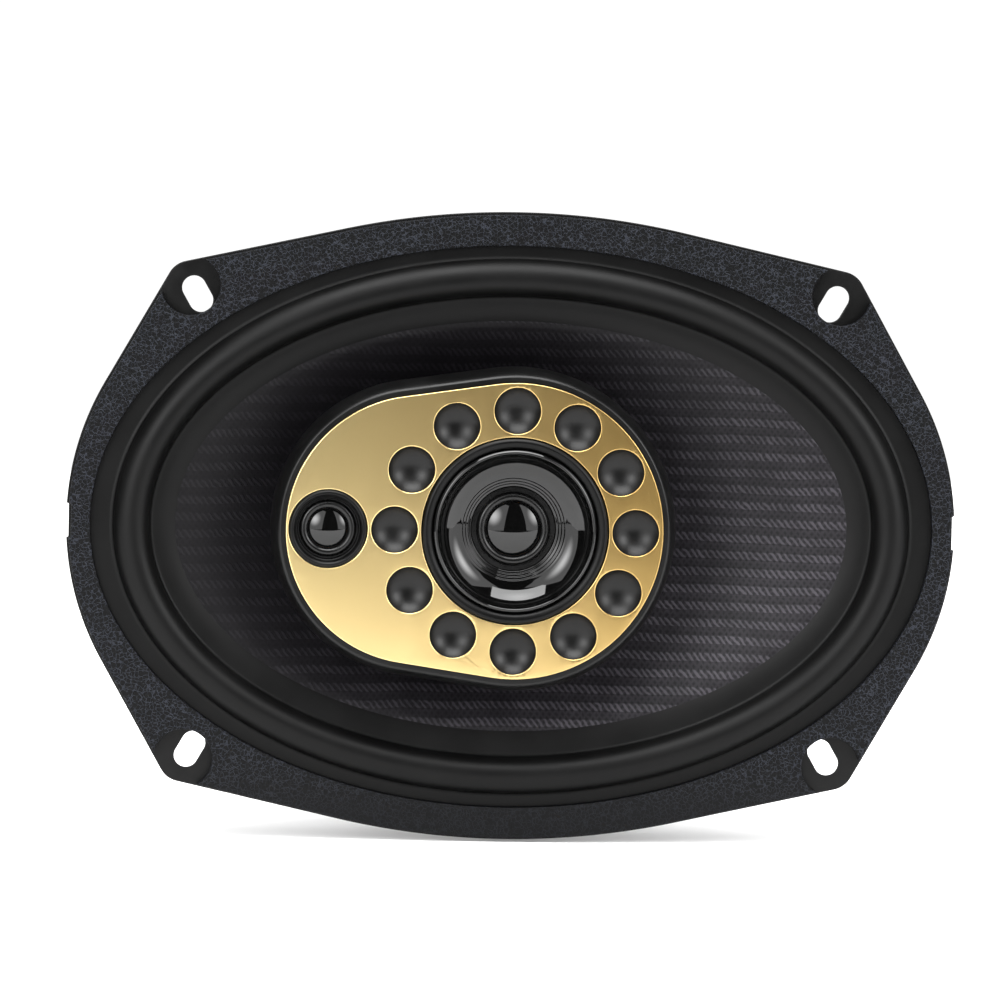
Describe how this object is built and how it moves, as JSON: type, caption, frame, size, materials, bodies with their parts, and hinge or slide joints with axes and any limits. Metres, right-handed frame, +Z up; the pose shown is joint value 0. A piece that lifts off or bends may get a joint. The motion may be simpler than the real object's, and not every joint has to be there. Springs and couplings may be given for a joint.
{
  "type": "coaxial car speaker",
  "caption": "Oval three-way coaxial car speaker: pressed basket with slotted corner ears, woven cone, rubber roll, ring magnet, and a central pod with a midrange dome and a small tweeter.",
  "frame": {"origin": "centre of the flange rear face, in the plane of the panel that it seats on", "axes": "+X along the oval, -Y out of the front towards the listener, +Z up"},
  "size_m": [0.237, 0.103, 0.1676],
  "materials": {
    "painted_steel": "satin black powder coat",
    "gasket_rubber": "crackled black rubberised board",
    "roll_rubber": "satin black rubber",
    "cone_fibre": "twill-woven fibre cone, satin",
    "tinned_brass": "tin-plated brass",
    "former_foil": "thin coil former",
    "copper_wire": "enamelled copper winding",
    "spider_cloth": "resin-stiffened waved cloth",
    "seal_foam": "open-cell foam",
    "plated_steel": "zinc-plated steel",
    "ferrite": "ground ferrite",
    "rivet_steel": "bright steel",
    "mast_metal": "turned aluminium tube",
    "pod_plastic": "satin black moulding",
    "screw_steel": "black screws",
    "gold_plate": "gold anodised, satin",
    "bezel_plastic": "semi-gloss black moulding",
    "gloss_bowl": "mirror-gloss black moulding",
    "film_roll": "black film half roll",
    "gloss_dome": "mirror-gloss black film",
    "magnet_metal": "nickel-plated magnet",
    "fibre_board": "pressed fibre board",
    "capacitor_sleeve": "shrunk sleeve",
    "braided_copper": "braided tinsel lead",
    "cable_sheath": "black sheath",
    "lead_sheath": "red sheath"
  },
  "bodies": {
    "frame": {"basket": "painted_steel", "front_gasket": "gasket_rubber", "surround": "roll_rubber", "spider": "spider_cloth", "dust_seal": "seal_foam", "front_plate": "plated_steel", "magnet": "ferrite", "pole_yoke": "plated_steel", "motor_rivets": "rivet_steel", "mast": "mast_metal", "mast_washer": "rivet_steel", "mast_nut": "rivet_steel", "pod_back": "pod_plastic", "pod_body": "pod_plastic", "pod_screws": "screw_steel", "trim_plate": "gold_plate", "mid_bezel": "bezel_plastic", "mid_horn": "gloss_bowl", "mid_surround": "film_roll", "mid_pole_plate": "plated_steel", "mid_magnet": "magnet_metal", "mid_cup": "plated_steel", "tweeter_bezel": "bezel_plastic", "tweeter_surround": "film_roll", "tweeter_pole_plate": "plated_steel", "tweeter_magnet": "magnet_metal", "tweeter_cup": "plated_steel", "terminal_board": "fibre_board", "terminal_positive": "tinned_brass", "terminal_negative": "tinned_brass", "terminal_rivets": "rivet_steel", "capacitor_mid": "capacitor_sleeve", "capacitor_tweeter": "capacitor_sleeve", "lead_positive": "braided_copper", "lead_negative": "braided_copper", "pod_cable": "cable_sheath", "tweeter_lead": "lead_sheath"},
    "cone_assembly": {"cone": "cone_fibre", "lead_eyelets": "tinned_brass", "voice_coil_former": "former_foil", "voice_coil": "copper_wire"},
    "mid_diaphragm": {"mid_dome": "gloss_dome", "mid_former": "former_foil", "mid_coil": "copper_wire"},
    "tweeter_diaphragm": {"tweeter_dome": "gloss_dome", "tweeter_former": "former_foil", "tweeter_coil": "copper_wire"}
  },
  "joints": [
    {"name": "cone_travel", "type": "slide", "parent": "frame", "child": "cone_assembly", "axis": [0, -1, 0], "range_m": [-0.004, 0.004], "stiffness_N_per_m": 2200, "deforming": ["surround", "spider", "lead_positive", "lead_negative"]},
    {"name": "mid_travel", "type": "slide", "parent": "frame", "child": "mid_diaphragm", "axis": [0, -1, 0], "range_m": [-0.0005, 0.0005], "stiffness_N_per_m": 900, "deforming": ["mid_surround"]},
    {"name": "tweeter_travel", "type": "slide", "parent": "frame", "child": "tweeter_diaphragm", "axis": [0, -1, 0], "range_m": [-0.0002, 0.0002], "stiffness_N_per_m": 900, "deforming": ["tweeter_surround"]}
  ]
}
